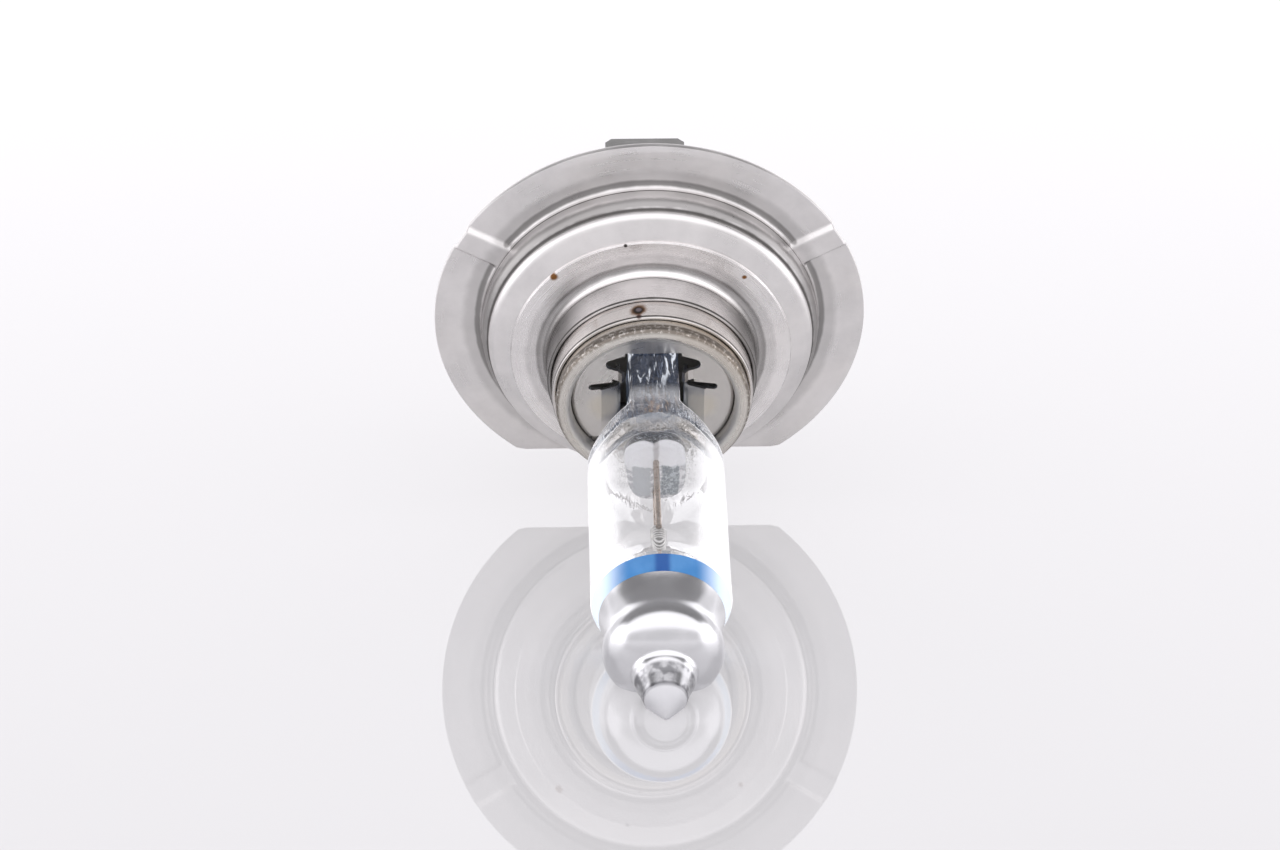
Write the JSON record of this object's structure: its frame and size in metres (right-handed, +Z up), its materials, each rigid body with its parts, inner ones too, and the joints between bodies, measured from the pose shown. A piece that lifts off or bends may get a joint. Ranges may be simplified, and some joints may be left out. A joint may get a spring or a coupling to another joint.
{
  "type": "headlight bulb",
  "caption": "Halogen headlight bulb: glass burner with axial filament and mirrored dome, in a pressed round flange with a flat, and a two-blade connector at the rear.",
  "frame": {"origin": "on the lamp axis, in the reference plane that touches the fronts of the three support bosses", "axes": "+Y along the lamp axis to the connector blades, -Y to the glass tip, +Z up with the flange's flat and locating tab at the bottom, +X to the right seen from behind"},
  "size_m": [0.0332, 0.061, 0.0333],
  "materials": {
    "flange_steel": "satin nickel-plated pressed steel",
    "sleeve_steel": "bright drawn steel",
    "clamp_steel": "satin steel with a warm heat tint at the rim",
    "terminal_metal": "tin-plated",
    "lead_metal": "dull molybdenum wire",
    "tungsten": "drawn tungsten wire",
    "clear_glass": "clear polished",
    "blue_coat": "clear blue coating",
    "mirror_coat": "satin silver coating",
    "insulator_plastic": "moulded heat-resistant plastic"
  },
  "bodies": {
    "root": {"base_flange": "flange_steel", "focus_collar": "sleeve_steel", "focus_sleeve": "sleeve_steel", "clamp_cup": "clamp_steel", "pinch_clip": "clamp_steel", "burner_glass": "clear_glass", "silver_cap": "mirror_coat", "blue_band": "blue_coat", "filament": "tungsten", "lead_short": "lead_metal", "lead_long": "lead_metal", "foil_upper": "lead_metal", "foil_lower": "lead_metal", "outer_lead_upper": "lead_metal", "outer_lead_lower": "lead_metal", "terminal_upper": "terminal_metal", "terminal_lower": "terminal_metal", "insulator": "insulator_plastic", "rear_shell": "flange_steel"}
  },
  "joints": []
}
